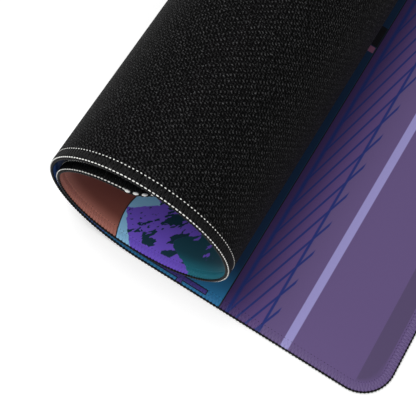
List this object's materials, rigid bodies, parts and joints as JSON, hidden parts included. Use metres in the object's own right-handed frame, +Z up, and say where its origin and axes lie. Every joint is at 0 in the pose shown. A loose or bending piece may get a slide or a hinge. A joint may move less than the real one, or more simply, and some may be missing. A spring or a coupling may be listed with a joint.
{
  "type": "desk mat",
  "caption": "Stitched-edge cloth-top desk mat on a black rubber base, partly rolled up with the printed side inwards; the roll opens out flat.",
  "frame": {"origin": "bottom centre of the partly rolled mat, on the surface it lies on", "axes": "+X along the mat's long side, from the roll to the flat end; +Y along the roll's axis, from the front edge to the rear; +Z up"},
  "size_m": [0.2976, 0.457, 0.1621],
  "materials": {
    "rubber_base": "matte black natural-rubber foam with a fine woven grip texture",
    "cloth_top": "fine knitted polyester, dye-sublimation print in purples and blues",
    "lower_looper_thread": "matte black overlock thread",
    "upper_looper_thread": "overlock thread that carries the print",
    "needle_thread": "white polyester thread"
  },
  "bodies": {
    "flat_part": {"rubber_base_flat": "rubber_base", "cloth_top_flat": "cloth_top", "lower_looper_thread_flat": "lower_looper_thread", "upper_looper_thread_flat": "upper_looper_thread", "needle_thread_flat": "needle_thread"},
    "roll_link_01": {"rubber_base_roll_01": "rubber_base", "cloth_top_roll_01": "cloth_top", "edge_threads_roll_01": "lower_looper_thread"},
    "roll_link_02": {"rubber_base_roll_02": "rubber_base", "cloth_top_roll_02": "cloth_top", "edge_threads_roll_02": "lower_looper_thread"},
    "roll_link_03": {"rubber_base_roll_03": "rubber_base", "cloth_top_roll_03": "cloth_top", "edge_threads_roll_03": "lower_looper_thread"},
    "roll_link_04": {"rubber_base_roll_04": "rubber_base", "cloth_top_roll_04": "cloth_top", "edge_threads_roll_04": "lower_looper_thread"},
    "roll_link_05": {"rubber_base_roll_05": "rubber_base", "cloth_top_roll_05": "cloth_top", "edge_threads_roll_05": "lower_looper_thread"},
    "roll_link_06": {"rubber_base_roll_06": "rubber_base", "cloth_top_roll_06": "cloth_top", "edge_threads_roll_06": "lower_looper_thread"},
    "roll_link_07": {"rubber_base_roll_07": "rubber_base", "cloth_top_roll_07": "cloth_top", "edge_threads_roll_07": "lower_looper_thread"},
    "roll_link_08": {"rubber_base_roll_08": "rubber_base", "cloth_top_roll_08": "cloth_top", "edge_threads_roll_08": "lower_looper_thread"},
    "roll_link_09": {"rubber_base_roll_09": "rubber_base", "cloth_top_roll_09": "cloth_top", "edge_threads_roll_09": "lower_looper_thread"},
    "roll_link_10": {"rubber_base_roll_10": "rubber_base", "cloth_top_roll_10": "cloth_top", "edge_threads_roll_10": "lower_looper_thread"},
    "roll_link_11": {"rubber_base_roll_11": "rubber_base", "cloth_top_roll_11": "cloth_top", "edge_threads_roll_11": "lower_looper_thread"},
    "roll_link_12": {"rubber_base_roll_12": "rubber_base", "cloth_top_roll_12": "cloth_top", "edge_threads_roll_12": "lower_looper_thread"},
    "roll_link_13": {"rubber_base_roll_13": "rubber_base", "cloth_top_roll_13": "cloth_top", "edge_threads_roll_13": "lower_looper_thread"},
    "roll_link_14": {"rubber_base_roll_14": "rubber_base", "cloth_top_roll_14": "cloth_top", "edge_threads_roll_14": "lower_looper_thread"},
    "roll_link_15": {"rubber_base_roll_15": "rubber_base", "cloth_top_roll_15": "cloth_top", "edge_threads_roll_15": "lower_looper_thread"},
    "roll_link_16": {"rubber_base_roll_16": "rubber_base", "cloth_top_roll_16": "cloth_top", "edge_threads_roll_16": "lower_looper_thread"},
    "roll_link_17": {"rubber_base_roll_17": "rubber_base", "cloth_top_roll_17": "cloth_top", "edge_threads_roll_17": "lower_looper_thread"}
  },
  "joints": [
    {"name": "curl_01", "type": "hinge", "parent": "flat_part", "child": "roll_link_01", "pos_m": [-0.08641, 0, 0.00301], "axis": [0, -1, 0], "range_deg": [0, 31]},
    {"name": "curl_02", "type": "hinge", "parent": "roll_link_01", "child": "roll_link_02", "pos_m": [-0.12556, 0, 0.02653], "axis": [0, -1, 0], "range_deg": [0, 31]},
    {"name": "curl_03", "type": "hinge", "parent": "roll_link_02", "child": "roll_link_03", "pos_m": [-0.14688, 0, 0.06664], "axis": [0, -1, 0], "range_deg": [0, 31]},
    {"name": "curl_04", "type": "hinge", "parent": "roll_link_03", "child": "roll_link_04", "pos_m": [-0.14461, 0, 0.11004], "axis": [0, -1, 0], "range_deg": [0, 31]},
    {"name": "curl_05", "type": "hinge", "parent": "roll_link_04", "child": "roll_link_05", "pos_m": [-0.12141, 0, 0.14444], "axis": [0, -1, 0], "range_deg": [0, 31]},
    {"name": "curl_06", "type": "hinge", "parent": "roll_link_05", "child": "roll_link_06", "pos_m": [-0.08558, 0, 0.16115], "axis": [0, -1, 0], "range_deg": [0, 31]},
    {"name": "curl_07", "type": "hinge", "parent": "roll_link_06", "child": "roll_link_07", "pos_m": [-0.04773, 0, 0.15717], "axis": [0, -1, 0], "range_deg": [0, 31]},
    {"name": "curl_08", "type": "hinge", "parent": "roll_link_07", "child": "roll_link_08", "pos_m": [-0.0169, 0, 0.13394], "axis": [0, -1, 0], "range_deg": [0, 31]},
    {"name": "curl_09", "type": "hinge", "parent": "roll_link_08", "child": "roll_link_09", "pos_m": [-0.00223, 0, 0.09763], "axis": [0, -1, 0], "range_deg": [0, 31]},
    {"name": "curl_10", "type": "hinge", "parent": "roll_link_09", "child": "roll_link_10", "pos_m": [-0.00844, 0, 0.0584], "axis": [0, -1, 0], "range_deg": [0, 31]},
    {"name": "curl_11", "type": "hinge", "parent": "roll_link_10", "child": "roll_link_11", "pos_m": [-0.03432, 0, 0.02756], "axis": [0, -1, 0], "range_deg": [0, 31]},
    {"name": "curl_12", "type": "hinge", "parent": "roll_link_11", "child": "roll_link_12", "pos_m": [-0.07202, 0, 0.01458], "axis": [0, -1, 0], "range_deg": [0, 31]},
    {"name": "curl_13", "type": "hinge", "parent": "roll_link_12", "child": "roll_link_13", "pos_m": [-0.10892, 0, 0.02243], "axis": [0, -1, 0], "range_deg": [0, 31]},
    {"name": "curl_14", "type": "hinge", "parent": "roll_link_13", "child": "roll_link_14", "pos_m": [-0.13482, 0, 0.04658], "axis": [0, -1, 0], "range_deg": [0, 31]},
    {"name": "curl_15", "type": "hinge", "parent": "roll_link_14", "child": "roll_link_15", "pos_m": [-0.14344, 0, 0.07663], "axis": [0, -1, 0], "range_deg": [0, 31]},
    {"name": "curl_16", "type": "hinge", "parent": "roll_link_15", "child": "roll_link_16", "pos_m": [-0.13642, 0, 0.10283], "axis": [0, -1, 0], "range_deg": [0, 31]},
    {"name": "curl_17", "type": "hinge", "parent": "roll_link_16", "child": "roll_link_17", "pos_m": [-0.1096, 0, 0.12873], "axis": [0, -1, 0], "range_deg": [0, 31]}
  ],
  "couplings": [
    {"joint": "curl_02", "follows": "curl_01", "ratio": 1},
    {"joint": "curl_03", "follows": "curl_01", "ratio": 1},
    {"joint": "curl_04", "follows": "curl_01", "ratio": 1},
    {"joint": "curl_05", "follows": "curl_01", "ratio": 1},
    {"joint": "curl_06", "follows": "curl_01", "ratio": 1},
    {"joint": "curl_07", "follows": "curl_01", "ratio": 1},
    {"joint": "curl_08", "follows": "curl_01", "ratio": 1},
    {"joint": "curl_09", "follows": "curl_01", "ratio": 1},
    {"joint": "curl_10", "follows": "curl_01", "ratio": 1},
    {"joint": "curl_11", "follows": "curl_01", "ratio": 1},
    {"joint": "curl_12", "follows": "curl_01", "ratio": 1},
    {"joint": "curl_13", "follows": "curl_01", "ratio": 1},
    {"joint": "curl_14", "follows": "curl_01", "ratio": 1},
    {"joint": "curl_15", "follows": "curl_01", "ratio": 1},
    {"joint": "curl_16", "follows": "curl_01", "ratio": 1},
    {"joint": "curl_17", "follows": "curl_01", "ratio": 1}
  ]
}
